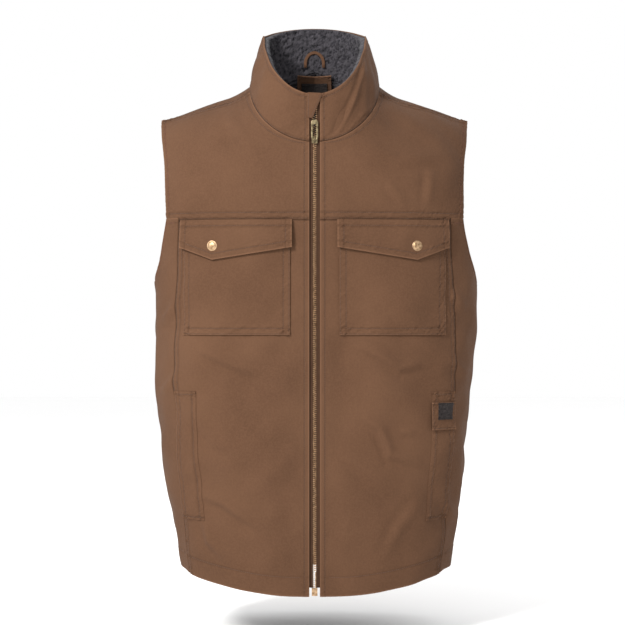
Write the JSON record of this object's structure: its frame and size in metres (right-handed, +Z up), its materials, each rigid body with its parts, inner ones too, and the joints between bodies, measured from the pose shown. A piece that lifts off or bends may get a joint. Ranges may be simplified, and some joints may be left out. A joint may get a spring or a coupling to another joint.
{
  "type": "canvas zip vest",
  "caption": "Sleeveless insulated canvas vest with a stand-up pile-lined collar, a full-length metal front zip, snapped chest pockets and side-seam hand pockets.",
  "frame": {"origin": "middle of the neck opening, level with the points where the shoulders meet the collar", "axes": "+Z up, the front faces -Y, the wearer's left is +X"},
  "size_m": [0.478, 0.2717, 0.831],
  "materials": {
    "canvas": "matt brushed cotton canvas",
    "sherpa": "curly charcoal pile",
    "pocketing": "plain weave",
    "zip_cloth": "woven tape",
    "thread": "twisted thread",
    "brass": "satin",
    "dark_brass": "antiqued",
    "woven_label": "woven damask"
  },
  "bodies": {
    "vest": {"front_panel_right": "canvas", "front_panel_left": "canvas", "side_panel_right": "canvas", "side_panel_left": "canvas", "front_yoke_right": "canvas", "front_yoke_left": "canvas", "back_panel": "canvas", "back_yoke": "canvas", "collar_shell": "canvas", "chest_pocket_right": "canvas", "chest_pocket_left": "canvas", "hand_pocket_welt_right": "canvas", "hand_pocket_welt_left": "canvas", "neck_patch": "canvas", "front_facing_right": "canvas", "front_facing_left": "canvas", "armhole_facing_right": "canvas", "armhole_facing_left": "canvas", "hem_facing": "canvas", "lining_right": "sherpa", "lining_left": "sherpa", "lining_back": "sherpa", "yoke_lining_right": "sherpa", "yoke_lining_left": "sherpa", "yoke_lining_back": "sherpa", "collar_lining": "sherpa", "hand_pocket_bag_right": "pocketing", "hand_pocket_bag_left": "pocketing", "zip_tape_right": "zip_cloth", "zip_tape_left": "zip_cloth", "zip_teeth_right": "brass", "zip_teeth_left": "brass", "top_stop_right": "brass", "top_stop_left": "brass", "insertion_pin": "brass", "retainer_box": "brass", "snap_stud_right": "brass", "snap_stud_left": "brass", "hidden_snap_right": "dark_brass", "hidden_snap_left": "dark_brass", "neck_label": "woven_label", "pocket_label": "woven_label"},
    "chest_flap_right": {"chest_flap_right": "canvas", "snap_cap_right": "brass", "snap_socket_right": "brass"},
    "chest_flap_left": {"chest_flap_left": "canvas", "snap_cap_left": "brass", "snap_socket_left": "brass"},
    "slider": {"slider_body": "dark_brass", "slider_back": "dark_brass", "slider_bail": "dark_brass"},
    "pull": {"pull_tab": "dark_brass"},
    "garage": {"zip_garage": "canvas"},
    "loop": {"hang_loop": "canvas"}
  },
  "joints": [
    {"name": "chest_flap_right", "type": "hinge", "parent": "vest", "child": "chest_flap_right", "pos_m": [-0.1133, -0.1375, -0.203], "axis": [-0.9799, 0.1995, 0], "range_deg": [0, 120]},
    {"name": "chest_flap_left", "type": "hinge", "parent": "vest", "child": "chest_flap_left", "pos_m": [0.1133, -0.1375, -0.203], "axis": [-0.9799, -0.1995, 0], "range_deg": [0, 120]},
    {"name": "zip_slide", "type": "slide", "parent": "vest", "child": "slider", "axis": [0, 0, -1], "range_m": [0, 0.626]},
    {"name": "pull_swing", "type": "hinge", "parent": "slider", "child": "pull", "pos_m": [0, -0.14225, -0.0918], "axis": [1, 0, 0], "range_deg": [0, 170]},
    {"name": "garage_fold", "type": "hinge", "parent": "vest", "child": "garage", "pos_m": [-0.011, -0.1411, -0.043], "axis": [0, 0, -1], "range_deg": [0, 150]},
    {"name": "loop_swing", "type": "hinge", "parent": "vest", "child": "loop", "pos_m": [0, 0.056, 0.043], "axis": [1, 0, 0], "range_deg": [0, 110]}
  ]
}
